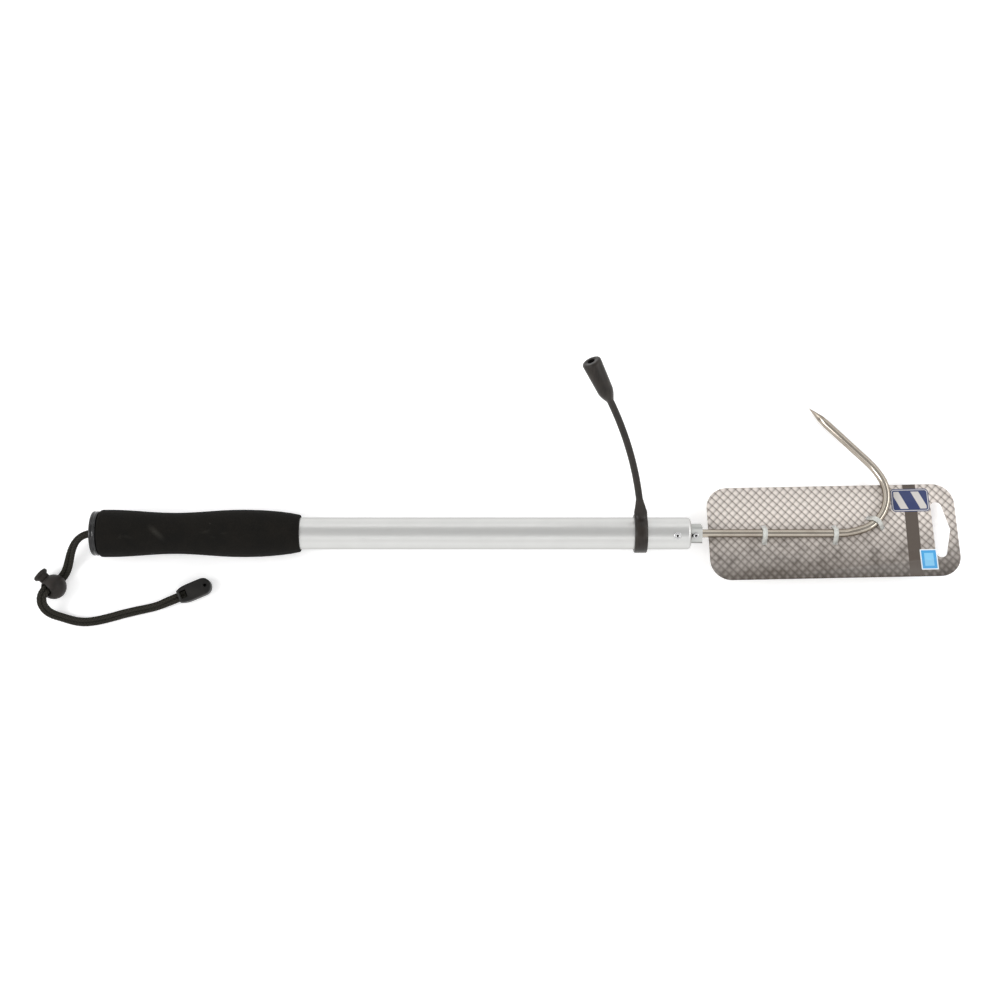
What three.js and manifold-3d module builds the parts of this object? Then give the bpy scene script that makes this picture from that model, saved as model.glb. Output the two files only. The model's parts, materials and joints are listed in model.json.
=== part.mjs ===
// A telescopic landing gaff, collapsed, lying on a table with its display card still tied to the hook.
// Millimetres. +X runs from the butt towards the hook, +Z is up, and the table is at z = 0.
import * as THREE from "three";
import { mergeVertices } from "three/addons/utils/BufferGeometryUtils.js";
import Module from "manifold-3d";

const wasm = await Module();
wasm.setup();

// Gaps and cuts
const SEAT = 0.3; // between pieces that touch
const RUNNING = 0.25; // between pieces that slide on each other
const OVERRUN = 2; // how far a cutter passes the surface that it cuts
const WELD = 0.00002; // corners closer than this are one

// Outer tube, round, with its front edge rolled in
const TUBE_RADIUS = 12;
const TUBE_WALL = 1.2;
const TUBE_LENGTH = 442.4;
const LIP_RADIUS = 2.6;
const LIP_OPENING = 9.1;

// Butt cap: a flange with two rounded ridges, and a ribbed spigot in the tube
const CAP_LENGTH = 4.8;
const CAP_RADIUS = 16.8;
const CAP_GROOVE = 0.7;
const CAP_EDGE = 1.2;
const SPIGOT_LENGTH = 17;
const SPIGOT_WALL = 1.8;
const SPIGOT_RIB = 0.6;
const SPIGOT_RIBS = 3;
const CORD_HOLE_RADIUS = 4.4;
const HOLE_ROUNDING = 1;

// Grip: a foam sleeve with two swells and a waist
const GRIP_LENGTH = 150.4;
const GRIP_SWELL = 17.8;
const GRIP_WAIST = 15.45;
const GRIP_FRONT = 14.1;
const GRIP_SHOULDER = 2.6;
const GRIP_RIM = 0.9;
const GRIP_REAR_SHARE = 0.045;
const GRIP_WAIST_SHARE = 0.375;
const GRIP_SWELL_SHARE = 0.705;
const GRIP_FALL_POWER = 2.3;

// Guide bush in the tube's mouth, held by a blind rivet
const BUSH_LENGTH = 18;
const BUSH_RIVET_SETBACK = 10.7;
const BUSH_RIVET_ROLL = 18;
const BUSH_RIVET_HEAD = 2.9;
const RIVET_DOME = 0.9;
const RIVET_SHANK = 1.6;
const RIVET_TAIL_CLEARANCE = 0.7;
const MANDREL_HOLE = 0.9;

// Inner tube, square
const SQUARE_SIDE = 12.7;
const SQUARE_WALL = 1.2;
const SQUARE_CORNER = 1.5;
const SQUARE_ROLL = 24;
const INNER_SETBACK = 26.9; // of its rear, from the outer tube's
const INNER_REACH = 8.5;
const LATCH_HOLE_RADIUS = 2.4;
const LATCH_HOLE_SETBACK = 1;

// Rear slider on the inner tube, held by a pin
const SLIDER_LENGTH = 16;
const SLIDER_END_WALL = 2;
const SLIDER_EDGE = 0.8;
const PIN_RADIUS = 1.5;
const PIN_SETBACK = 6;
const PIN_SINK = 0.6;

// Hook plug in the front of the inner tube, with its rivet
const PLUG_LENGTH = 24;
const PLUG_RECESS = 0.4;
const PLUG_RIVET_SETBACK = 4.9;
const PLUG_RIVET_HEAD = 2.25;
const PLUG_RIVET_SHANK = 1.2;
const PLUG_RIVET_DOME = 0.7;

// Hook: round wire, its bend in three arcs, then a straight spear ground to a four-sided point
const WIRE_RADIUS = 3;
const SHANK_REACH = 102;
const SHANK_HIDDEN = 22;
const EASE_RADIUS = 57.4;
const EASE_TURN = 21;
const BEND_RADIUS = 29.5;
const BEND_TURN = 98;
const OPEN_RADIUS = 61.4;
const OPEN_TURN = 14.2;
const SPEAR_LENGTH = 60.8;
const POINT_LENGTH = 18;
const POINT_FLAT = 0.4; // this far from where the flats would meet, the point is left blunt

// Display card under the hook, with a hang slot, and the three ties that hold it
const CARD_LENGTH = 187.6;
const CARD_HEIGHT = 73;
const CARD_THICKNESS = 1;
const CARD_CORNER = 16;
const CARD_GAP = 5.6;
const CARD_RISE = 2.7;
const CARD_TURN = 1.2;
const HANG_SLOT_INSET = 9.6;
const HANG_SLOT_LENGTH = 44;
const HANG_SLOT_RADIUS = 4.3;
const HANG_BULGE_RADIUS = 6.4;
const HANG_BULGE_SHIFT = 2.2;
const TIE_WIDTH = 3.5;
const TIE_THICKNESS = 0.8;
const TIE_SPAN = 6.9;
const TIE_HEAD_WIDTH = 5;
const TIE_HEAD_HEIGHT = 2.6;
const TIE_PLAY = 0.6;
const TIE_PLACES = [47.3, 100.5]; // along the straight shank, from the inner tube's front
const BEND_TIE_TURN = 42;
const BEND_TIE_SWING = 10;

// Point guard: a ring on the tube, a strap and a bored cap, moulded in one piece
const RING_SETBACK = 37.5;
const RING_WIDTH = 9.6;
const RING_RADIUS = 14.6;
const GUARD_LEAN = 42;
const STRAP_LENGTH = 102.5;
const STRAP_WIDTH = 5.2;
const STRAP_THICKNESS = 3;
const STRAP_RIDGE = 0.9;
const STRAP_ROOT_LEAN = 5;
const STRAP_TIP_LEAN = 25;
const FLARE_ROOT = 5; // of full width, before the flare narrows
const FLARE_LENGTH = 12;
const FLARE_WIDTH = 9.8;
const FLARE_THICKNESS = 5;
const GUARD_CAP_LENGTH = 34.5;
const GUARD_CAP_MOUTH = 7.1;
const GUARD_CAP_BASE = 5.9;
const GUARD_CAP_SHOULDER = 11;
const GUARD_CAP_EDGE = 1.2;
const GUARD_BORE = 2.75;
const GUARD_BORE_DEPTH = 24;

// Wrist lanyard: two strands side by side, from a knot in the butt cap to a cord end
const CORD_DIAMETER = 3.4;
const STRAND_SPACING = 3.8;
const KNOT_RADIUS = 6;
const KNOT_LENGTH = 9;
const KNOT_WAIST = 1;
const KNOT_END_SHARE = 0.12;
const KNOT_WAIST_SHARE = 0.16;

// Cord lock: a ball with a bore, a sprung plunger and a channel that the strands run through
const LOCK_PLACE = [-31.2, -38, 9.6];
const LOCK_AZIMUTH = 139;
const LOCK_TILT = 5;
const LOCK_SPIN = 50;
const BALL_RADIUS = 9.4;
const BALL_DROP = 1.8;
const BALL_TOP = 6;
const BORE_RADIUS = 4.4;
const CHANNEL_MARGIN = 0.35;
const CHANNEL_MOUTH_DEPTH = 4.4;
const CHANNEL_MOUTH_SPREAD = 1.9;
const LEAD_SHARE = 0.55;
const PLUNGER_TRAVEL = 2.5;
const PLUNGER_BAR = 1.3;
const PLUNGER_FLANGE_RADIUS = 5.8;
const PLUNGER_FLANGE_LENGTH = 2.8;
const PLUNGER_REACH = 13;
const PLUNGER_DISH = 0.8;
const SPRING_RADIUS = 3.2;
const SPRING_WIRE = 0.25;
const SPRING_TURNS = 2.5;
const SPRING_SEAT = 0.2;

// Cord end: two snapped shells round the knot of the strands
const END_PLACE = [63, -46.4];
const END_AZIMUTH = 23.5;
const END_LENGTH = 26.2;
const END_HEIGHT = 8.4;
const END_MOUTH_WIDTH = 10;
const END_WIDTH = 13;
const END_SHOULDER = 9;
const END_WALL = 1.3;
const END_EDGE = 1.4;
const END_THROAT_LENGTH = 6;
const END_WINDOW_LENGTH = 5;
const END_WINDOW_WIDTH = 6.2;
const END_WINDOW_INSET = 2;
const END_HOLE_RADIUS = 1.3;
const END_HOLE_INSET = 4.4;
const END_KNOT_LENGTH = 7;
const END_KNOT_RADIUS = 2.55;

// The strands' common route, as [x from the butt, y from the tube's axis, height over the table, twist].
// The twist in degrees says how far the pair is turned from lying side by side.
const ROUTE_TO_LOCK = [
  [-4.2, -0.4, 17.7, 42],
  [-8.8, -2, 16.9, 42],
  [-12.8, -4.8, 15.3, 38],
  [-15.9, -8.8, 12.9, 30],
  [-18.2, -13.3, 10, 20],
  [-19.9, -18, 7.2, 10],
  [-21.4, -22.6, 4.7, 2],
  [-23.3, -27, 2.9, -4],
  [-25.9, -31, 2.6, -8],
];
const ROUTE_TO_END = [
  [-35, -43.9, 16.6, -8],
  [-36.1, -46.7, 17.3, -10],
  [-36.6, -49.6, 16.8, -10],
  [-36.5, -52.5, 14.9, -6],
  [-35.6, -55.2, 11.8, 4],
  [-34, -57.4, 8.4, 16],
  [-31.6, -59, 5.7, 26],
  [-28.5, -60.2, 4, 34],
  [-24.6, -61.3, 3.2, 38],
  [-19.2, -63, 3, 38],
  [-13.2, -64.4, 3, 38],
  [-6.4, -65, 3, 38],
  [3, -63.8, 3, 38],
  [12.4, -61.5, 3, 38],
  [23.6, -58.4, 3, 38],
  [34.9, -55.8, 3.1, 42],
  [46.1, -53.3, 3.4, 46],
  [55.4, -49.6, 3.9, 30],
];

// Finishes
const finishes = {
  satinAluminium: { color: 0xc4c8c9, roughness: 0.38, metalness: 0.9 },
  drawnAluminium: { color: 0xb4b8b6, roughness: 0.5, metalness: 0.9 },
  stainless: { color: 0xa39a8e, roughness: 0.25, metalness: 1 },
  foam: { color: 0x1e1d1a, roughness: 0.95, metalness: 0 },
  glossBlack: { color: 0x17181a, roughness: 0.25, metalness: 0 },
  nylon: { color: 0x2a2a2a, roughness: 0.6, metalness: 0 },
  rubber: { color: 0x3c3935, roughness: 0.8, metalness: 0 },
  braid: { color: 0x181816, roughness: 0.9, metalness: 0 },
  card: { color: 0xb9ada2, roughness: 0.45, metalness: 0 },
  clearPlastic: { color: 0xe4e0d8, roughness: 0.35, metalness: 0 },
};

// Worked-out sizes
const REST_HEIGHT = GRIP_SWELL;
const TUBE_BORE = TUBE_RADIUS - TUBE_WALL;
const TUBE_START = CAP_LENGTH + SEAT;
const TUBE_FRONT = TUBE_START + TUBE_LENGTH;
const BUSH_FRONT = TUBE_FRONT - LIP_RADIUS - SEAT;
const FIT_RADIUS = TUBE_BORE - SEAT;
const SQUARE_HALF = SQUARE_SIDE / 2;
const INNER_FRONT = TUBE_FRONT + INNER_REACH;
const INNER_REAR = TUBE_START + INNER_SETBACK;
const PLUG_FRONT = INNER_FRONT - PLUG_RECESS;
const CORD_RADIUS = CORD_DIAMETER / 2;
const PAIR_HALF = (STRAND_SPACING + CORD_DIAMETER) / 2;
const RING_BORE = TUBE_RADIUS + RUNNING;
const CARD_TOP = -(WIRE_RADIUS + SEAT);
const CHANNEL_HALF = PAIR_HALF + CHANNEL_MARGIN;
const SPRING_STACK = 2 * SPRING_WIRE * (SPRING_TURNS + 1);
const BORE_BOTTOM = -(CHANNEL_HALF + PLUNGER_BAR + PLUNGER_TRAVEL + SPRING_STACK);

const radians = THREE.MathUtils.degToRad;
const HALF_TURN = Math.PI;
const QUARTER_TURN = Math.PI / 2;

// A closed geometry as a solid that can be joined and cut.
function solid(geometry) {
  const bare = geometry.clone();
  bare.deleteAttribute("normal");
  bare.deleteAttribute("uv");
  const merged = mergeVertices(bare, WELD);
  return new wasm.Manifold(
    new wasm.Mesh({
      numProp: 3,
      vertProperties: merged.attributes.position.array,
      triVerts: new Uint32Array(merged.index.array),
    }),
  );
}

// A named mesh of a solid in one of the finishes.
function piece(name, body, finish) {
  const { numProp, vertProperties, triVerts } = body.getMesh();
  const geometry = new THREE.BufferGeometry();
  geometry.setAttribute("position", new THREE.BufferAttribute(vertProperties, numProp));
  geometry.setIndex(new THREE.BufferAttribute(triVerts, 1));
  geometry.computeVertexNormals();
  const mesh = new THREE.Mesh(geometry, new THREE.MeshStandardMaterial(finishes[finish]));
  mesh.name = name;
  return mesh;
}

function group(...children) {
  const made = new THREE.Group();
  made.add(...children);
  return made;
}

// A solid of revolution about the X axis, from [x, radius] places that run round its section either way.
function turned(profile, sides) {
  const points = profile.map(([x, radius]) => new THREE.Vector2(radius, x));
  if (THREE.ShapeUtils.area(points) < 0) points.reverse();
  return solid(new THREE.LatheGeometry(points, sides).rotateZ(-QUARTER_TURN));
}

// The places of an arc in a profile, in steps, from one angle to another.
function arc(x, radius, size, from, to, steps) {
  const places = [];
  for (let i = 0; i <= steps; i++) {
    const angle = radians(from + ((to - from) * i) / steps);
    places.push([x + size * Math.cos(angle), radius + size * Math.sin(angle)]);
  }
  return places;
}

// A bar along X with the outline given in Y and Z, turned about X by a roll in degrees.
function barAlongX(outline, from, to, roll) {
  const geometry = new THREE.ExtrudeGeometry(outline, {
    depth: to - from,
    bevelEnabled: false,
    curveSegments: 6,
  });
  // The outline's first axis becomes Y and its second Z.
  const turn = new THREE.Matrix4().makeBasis(
    new THREE.Vector3(0, 1, 0),
    new THREE.Vector3(0, 0, 1),
    new THREE.Vector3(1, 0, 0),
  );
  geometry.applyMatrix4(turn).translate(from, 0, 0).rotateX(radians(roll));
  return solid(geometry);
}

function roundedRectangle(width, height, corner) {
  const x = width / 2 - corner;
  const y = height / 2 - corner;
  const shape = new THREE.Shape();
  shape.absarc(x, y, corner, 0, QUARTER_TURN);
  shape.absarc(-x, y, corner, QUARTER_TURN, HALF_TURN);
  shape.absarc(-x, -y, corner, HALF_TURN, HALF_TURN + QUARTER_TURN);
  shape.absarc(x, -y, corner, HALF_TURN + QUARTER_TURN, 2 * HALF_TURN);
  return shape;
}

// A round bar across the tube's axis at x, from one distance to another, rolled from +Z about X.
function radialBar(x, radius, from, to, roll, sides = 20) {
  const geometry = new THREE.CylinderGeometry(radius, radius, to - from, sides);
  geometry.rotateX(QUARTER_TURN).translate(0, 0, (from + to) / 2);
  return solid(geometry.rotateX(radians(roll)).translate(x, 0, 0));
}

function block(x0, x1, y0, y1, z0, z1) {
  const geometry = new THREE.BoxGeometry(x1 - x0, y1 - y0, z1 - z0);
  return solid(geometry.translate((x0 + x1) / 2, (y0 + y1) / 2, (z0 + z1) / 2));
}

// A blind rivet at x: a domed head over a seat at the given distance, a shank, and the mandrel's hole.
function blindRivet(x, roll, seat, sizes) {
  const { head, dome, shank, tail } = sizes;
  const profile = [[seat + dome, 0]];
  profile.push(...arc(seat, head - dome, dome, 25, 90, 3));
  profile.push([seat - OVERRUN / 2, head], [seat - OVERRUN / 2, shank], [tail, shank], [tail, 0]);
  const hole = turned(
    [
      [seat + dome + OVERRUN, 0],
      [seat + dome + OVERRUN, MANDREL_HOLE],
      [seat - dome, MANDREL_HOLE],
      [seat - dome, 0],
    ],
    12,
  );
  return { body: turned(profile, 20).subtract(hole), x, roll };
}

// Stands a rivet, which was made along X, at its place on the tube.
function stand({ body, x, roll }) {
  const place = new THREE.Matrix4().makeRotationX(radians(roll));
  place.multiply(new THREE.Matrix4().makeRotationY(-QUARTER_TURN));
  place.setPosition(x, 0, 0);
  return body.transform(place.elements);
}

function outerTube() {
  const bend = LIP_RADIUS - TUBE_WALL;
  const corner = TUBE_FRONT - LIP_RADIUS;
  const profile = [
    [TUBE_FRONT - TUBE_WALL, LIP_OPENING],
    [TUBE_FRONT, LIP_OPENING],
    ...arc(corner, TUBE_RADIUS - LIP_RADIUS, LIP_RADIUS, 0, 90, 6),
    [TUBE_START, TUBE_RADIUS],
    [TUBE_START, TUBE_BORE],
    ...arc(corner, TUBE_RADIUS - LIP_RADIUS, bend, 90, 0, 4),
    [TUBE_FRONT - TUBE_WALL, LIP_OPENING],
  ];
  const x = TUBE_FRONT - BUSH_RIVET_SETBACK;
  const hole = radialBar(x, RIVET_SHANK + SEAT, 0, TUBE_RADIUS + OVERRUN, BUSH_RIVET_ROLL);
  return turned(profile, 48).subtract(hole);
}

function gripRadius(share) {
  const swing = (from, to, a, b) => {
    const t = (share - from) / (to - from);
    return a + ((b - a) * (1 - Math.cos(Math.PI * t))) / 2;
  };
  if (share < GRIP_REAR_SHARE) return GRIP_SWELL;
  if (share < GRIP_WAIST_SHARE) {
    return swing(GRIP_REAR_SHARE, GRIP_WAIST_SHARE, GRIP_SWELL, GRIP_WAIST);
  }
  if (share < GRIP_SWELL_SHARE) {
    return swing(GRIP_WAIST_SHARE, GRIP_SWELL_SHARE, GRIP_WAIST, GRIP_SWELL);
  }
  const t = (share - GRIP_SWELL_SHARE) / (1 - GRIP_SWELL_SHARE);
  return GRIP_SWELL - (GRIP_SWELL - GRIP_FRONT) * t ** GRIP_FALL_POWER;
}

function grip() {
  const steps = 20;
  const bore = TUBE_RADIUS + SEAT;
  const rear = TUBE_START;
  const front = rear + GRIP_LENGTH;
  const shoulder = GRIP_SHOULDER;
  const profile = [
    [rear, bore],
    [front, bore],
  ];
  profile.push(...arc(front - GRIP_RIM, gripRadius(1) - GRIP_RIM, GRIP_RIM, 0, 90, 3));
  for (let i = steps - 1; i > 0; i--) {
    const share = (i * (1 - shoulder / GRIP_LENGTH)) / steps;
    profile.push([rear + shoulder + share * GRIP_LENGTH, gripRadius(share + shoulder / GRIP_LENGTH)]);
  }
  profile.push(...arc(rear + shoulder, GRIP_SWELL - shoulder, shoulder, 90, 180, 5));
  profile.push([rear, bore]);
  return turned(profile, 36);
}

function buttCap() {
  const ridge = CAP_LENGTH / 4;
  const foot = CAP_RADIUS - CAP_GROOVE;
  const end = CAP_LENGTH + SPIGOT_LENGTH;
  const inside = FIT_RADIUS - SPIGOT_WALL;
  const root = FIT_RADIUS - SPIGOT_RIB;
  const pitch = SPIGOT_LENGTH / (2 * SPIGOT_RIBS + 1);
  const profile = [
    [CAP_LENGTH, inside],
    [end, inside],
  ];
  for (let i = 0; i < SPIGOT_RIBS; i++) {
    const x = end - 2 * i * pitch;
    profile.push([x, root], [x - pitch, FIT_RADIUS], [x - pitch, root]);
  }
  profile.push([CAP_LENGTH, root], [CAP_LENGTH, foot]);
  for (const centre of [CAP_LENGTH - ridge, ridge]) {
    const swell = arc(0, 0, 1, 20, 160, 4);
    profile.push(...swell.map(([x, up]) => [centre + x * ridge, foot + up * CAP_GROOVE]));
  }
  profile.push(...arc(CAP_EDGE, foot - CAP_EDGE, CAP_EDGE, 150, 180, 1));
  profile.push(...arc(HOLE_ROUNDING, CORD_HOLE_RADIUS + HOLE_ROUNDING, HOLE_ROUNDING, 180, 270, 3));
  profile.push([CAP_LENGTH, CORD_HOLE_RADIUS], [CAP_LENGTH, inside]);
  return turned(profile, 36);
}

// A knot is a bead with a drawn-in waist, with flat ends that the strands meet.
function knot(from, length, radius, waist) {
  const steps = 10;
  const profile = [[from + length, 0]];
  for (let i = 0; i <= steps; i++) {
    const share = 1 - i / steps;
    const bead = Math.sqrt(Math.sin(HALF_TURN * (KNOT_END_SHARE + (1 - 2 * KNOT_END_SHARE) * share)));
    const pinch = Math.exp(-(((share - 1 / 2) / KNOT_WAIST_SHARE) ** 2));
    profile.push([from + share * length, radius * bead - waist * pinch]);
  }
  profile.push([from, 0]);
  return turned(profile, 16);
}

function guideBush() {
  const rear = BUSH_FRONT - BUSH_LENGTH;
  const side = SQUARE_SIDE + 2 * RUNNING;
  const body = turned(
    [
      [BUSH_FRONT, 0],
      [BUSH_FRONT, FIT_RADIUS],
      [rear + SLIDER_EDGE, FIT_RADIUS],
      [rear, FIT_RADIUS - SLIDER_EDGE],
      [rear, 0],
    ],
    40,
  );
  const bore = roundedRectangle(side, side, SQUARE_CORNER + RUNNING);
  const x = TUBE_FRONT - BUSH_RIVET_SETBACK;
  return body
    .subtract(barAlongX(bore, rear - OVERRUN, BUSH_FRONT + OVERRUN, SQUARE_ROLL))
    .subtract(radialBar(x, RIVET_SHANK + SEAT, 0, TUBE_RADIUS, BUSH_RIVET_ROLL));
}

function bushRivet() {
  const rivet = blindRivet(TUBE_FRONT - BUSH_RIVET_SETBACK, BUSH_RIVET_ROLL, TUBE_RADIUS, {
    head: BUSH_RIVET_HEAD,
    dome: RIVET_DOME,
    shank: RIVET_SHANK,
    tail: SQUARE_HALF + RIVET_TAIL_CLEARANCE,
  });
  // The head's underside follows the tube, and the shank passes through.
  const hollow = turned(
    [
      [TUBE_FRONT, 0],
      [TUBE_FRONT, TUBE_RADIUS + SEAT / 2],
      [rivet.x - TUBE_RADIUS, TUBE_RADIUS + SEAT / 2],
      [rivet.x - TUBE_RADIUS, 0],
    ],
    56,
  );
  const keep = radialBar(rivet.x, RIVET_SHANK, 0, TUBE_RADIUS + SEAT, BUSH_RIVET_ROLL);
  return stand(rivet).subtract(hollow.subtract(keep));
}

function innerTube() {
  const inside = SQUARE_SIDE - 2 * SQUARE_WALL;
  const outline = roundedRectangle(SQUARE_SIDE, SQUARE_SIDE, SQUARE_CORNER);
  const bore = roundedRectangle(inside, inside, SQUARE_CORNER - SQUARE_WALL + SEAT);
  const hole = (x, radius) => radialBar(x, radius, 0, SQUARE_SIDE, SQUARE_ROLL);
  return barAlongX(outline, INNER_REAR, INNER_FRONT, SQUARE_ROLL)
    .subtract(barAlongX(bore, INNER_REAR - OVERRUN, INNER_FRONT + OVERRUN, SQUARE_ROLL))
    .subtract(hole(INNER_FRONT - PLUG_RIVET_SETBACK, PLUG_RIVET_SHANK + SEAT))
    .subtract(hole(TUBE_FRONT - LATCH_HOLE_SETBACK, LATCH_HOLE_RADIUS))
    .subtract(hole(INNER_REAR + PIN_SETBACK, PIN_RADIUS + SEAT));
}

function rearSlider() {
  const rear = INNER_REAR - SEAT - SLIDER_END_WALL;
  const front = rear + SLIDER_LENGTH;
  const side = SQUARE_SIDE + 2 * SEAT;
  const body = turned(
    [
      [front, 0],
      [front, FIT_RADIUS - SLIDER_EDGE],
      [front - SLIDER_EDGE, FIT_RADIUS],
      [rear + SLIDER_EDGE, FIT_RADIUS],
      [rear, FIT_RADIUS - SLIDER_EDGE],
      [rear, 0],
    ],
    40,
  );
  const socket = roundedRectangle(side, side, SQUARE_CORNER + SEAT);
  return body
    .subtract(barAlongX(socket, INNER_REAR - SEAT, front + OVERRUN, SQUARE_ROLL))
    .subtract(radialBar(INNER_REAR + PIN_SETBACK, PIN_RADIUS + SEAT, 0, TUBE_BORE, SQUARE_ROLL));
}

function sliderPin() {
  const inner = SQUARE_HALF - 2 * SQUARE_WALL;
  return radialBar(INNER_REAR + PIN_SETBACK, PIN_RADIUS, inner, FIT_RADIUS - PIN_SINK, SQUARE_ROLL);
}

function hookPlug() {
  const side = SQUARE_SIDE - 2 * SQUARE_WALL - 2 * SEAT;
  const outline = roundedRectangle(side, side, SQUARE_CORNER - SQUARE_WALL + SEAT);
  const rear = PLUG_FRONT - PLUG_LENGTH;
  const bore = WIRE_RADIUS + SEAT;
  const wire = turned(
    [
      [PLUG_FRONT + OVERRUN, 0],
      [PLUG_FRONT + OVERRUN, bore],
      [rear - OVERRUN, bore],
      [rear - OVERRUN, 0],
    ],
    20,
  );
  const x = INNER_FRONT - PLUG_RIVET_SETBACK;
  return barAlongX(outline, rear, PLUG_FRONT, SQUARE_ROLL)
    .subtract(wire)
    .subtract(radialBar(x, PLUG_RIVET_SHANK + SEAT, -SQUARE_HALF, SQUARE_HALF, SQUARE_ROLL));
}

// This rivet passes through the wire, so that the hook can't pull out.
function plugRivet() {
  const rivet = blindRivet(INNER_FRONT - PLUG_RIVET_SETBACK, SQUARE_ROLL, SQUARE_HALF + SEAT, {
    head: PLUG_RIVET_HEAD,
    dome: PLUG_RIVET_DOME,
    shank: PLUG_RIVET_SHANK,
    tail: SQUARE_WALL + SEAT - SQUARE_HALF,
  });
  const seat = block(
    rivet.x - SQUARE_SIDE,
    rivet.x + SQUARE_SIDE,
    -SQUARE_SIDE,
    SQUARE_SIDE,
    -SQUARE_SIDE,
    SQUARE_HALF + SEAT / 2,
  );
  const keep = radialBar(rivet.x, PLUG_RIVET_SHANK, -SQUARE_SIDE, SQUARE_SIDE, 0);
  const under = seat.subtract(keep).rotate([SQUARE_ROLL, 0, 0]);
  return stand(rivet).subtract(under);
}

// The hook's centre line in its own plane: places and headings from the inner tube to the point.
function hookLine() {
  const place = new THREE.Vector2(INNER_FRONT + SHANK_REACH, 0);
  const arcs = [
    [EASE_RADIUS, EASE_TURN],
    [BEND_RADIUS, BEND_TURN],
    [OPEN_RADIUS, OPEN_TURN],
  ];
  const line = [];
  let heading = 0;
  for (const [radius, turn] of arcs) {
    const from = heading;
    const centre = place.clone();
    centre.x -= radius * Math.sin(from);
    centre.y += radius * Math.cos(from);
    const steps = Math.ceil(turn / 7);
    for (let i = 0; i < steps; i++) {
      heading = from + (radians(turn) * i) / steps;
      line.push({ place: onArc(centre, radius, heading), heading });
    }
    heading = from + radians(turn);
    place.copy(onArc(centre, radius, heading));
  }
  line.push({ place: place.clone(), heading });
  const spear = new THREE.Vector2(Math.cos(heading), Math.sin(heading)).multiplyScalar(SPEAR_LENGTH);
  line.push({ place: place.clone().add(spear), heading });
  return line;
}

function onArc(centre, radius, heading) {
  const x = centre.x + radius * Math.sin(heading);
  return new THREE.Vector2(x, centre.y - radius * Math.cos(heading));
}

// A closed skin over rings of points that all have as many points.
function loft(rings) {
  const sides = rings[0].length;
  const middle = (ring) => {
    const sum = ring.reduce((total, point) => total.add(point), new THREE.Vector3());
    return sum.divideScalar(sides);
  };
  const corners = [...rings.flat(), middle(rings[0]), middle(rings.at(-1))];
  const faces = [];
  for (let r = 0; r < rings.length - 1; r++) {
    for (let i = 0; i < sides; i++) {
      const a = r * sides + i;
      const b = r * sides + ((i + 1) % sides);
      faces.push(a, b, b + sides, a, b + sides, a + sides);
    }
  }
  const last = (rings.length - 1) * sides;
  const [first, end] = [corners.length - 2, corners.length - 1];
  for (let i = 0; i < sides; i++) {
    const next = (i + 1) % sides;
    faces.push(first, next, i, end, last + i, last + next);
  }
  const geometry = new THREE.BufferGeometry().setFromPoints(corners);
  geometry.setIndex(faces);
  return solid(geometry);
}

// One ring round the wire. Within the point's length the radius is ground down to four flats.
function wireRing(place, heading, fromTip) {
  const sides = 16;
  const flat = WIRE_RADIUS * Math.min(1, fromTip / POINT_LENGTH);
  const ring = [];
  for (let i = 0; i < sides; i++) {
    const angle = (2 * Math.PI * i) / sides;
    const fromFlat = (angle + QUARTER_TURN / 2) % QUARTER_TURN;
    const ground = flat / Math.cos(Math.abs(fromFlat - QUARTER_TURN / 2) - QUARTER_TURN / 2);
    const radius = fromTip < POINT_LENGTH ? Math.min(WIRE_RADIUS, ground) : WIRE_RADIUS;
    const out = radius * Math.cos(angle);
    const x = place.x - out * Math.sin(heading);
    ring.push(new THREE.Vector3(x, place.y + out * Math.cos(heading), radius * Math.sin(angle)));
  }
  return ring;
}

// The wire's rings, round its centre line and down the ground point.
function wireRings() {
  const line = hookLine();
  const { place: tip, heading } = line.pop();
  line.unshift({ place: new THREE.Vector2(PLUG_FRONT - SHANK_HIDDEN, 0), heading: 0 });
  const rings = line.map((stop) => wireRing(stop.place, stop.heading, SPEAR_LENGTH));
  const back = new THREE.Vector2(-Math.cos(heading), -Math.sin(heading));
  for (const share of [1, 0.84, 0.68, 0.52, 0.36, 0.2]) {
    const fromTip = share * POINT_LENGTH;
    rings.push(wireRing(tip.clone().addScaledVector(back, fromTip), heading, fromTip));
  }
  rings.push(wireRing(tip, heading, POINT_FLAT));
  return rings;
}

// How far the hook turns about the tube, in degrees, before its spear lies on the table.
function restingDroop() {
  const points = wireRings().flat();
  const lowest = (droop) =>
    Math.min(...points.map(({ y, z }) => z * Math.cos(droop) - y * Math.sin(droop)));
  let [above, below] = [0, QUARTER_TURN / 2];
  while (below - above > radians(1) / 100) {
    const droop = (above + below) / 2;
    if (lowest(droop) > -REST_HEIGHT) above = droop;
    else below = droop;
  }
  return THREE.MathUtils.radToDeg(above);
}

// A cross hole near the wire's rear takes the plug's rivet.
function hook() {
  const x = INNER_FRONT - PLUG_RIVET_SETBACK;
  const roll = SQUARE_ROLL + restingDroop();
  return loft(wireRings()).subtract(radialBar(x, PLUG_RIVET_SHANK + SEAT, -SQUARE_HALF, SQUARE_HALF, roll));
}

// Where a tie sits on the hook: a place and the heading of the wire there.
function tieSeats() {
  const seats = TIE_PLACES.map((reach) => ({
    place: new THREE.Vector2(INNER_FRONT + reach, 0),
    heading: 0,
  }));
  const centre = new THREE.Vector2(INNER_FRONT + SHANK_REACH, EASE_RADIUS);
  const ease = radians(EASE_TURN);
  const join = onArc(centre, EASE_RADIUS, ease);
  const towards = new THREE.Vector2(-Math.sin(ease), Math.cos(ease));
  const middle = join.clone().addScaledVector(towards, BEND_RADIUS);
  const heading = radians(BEND_TIE_TURN);
  seats.push({ place: onArc(middle, BEND_RADIUS, heading), heading: heading + radians(BEND_TIE_SWING) });
  return seats;
}

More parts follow.
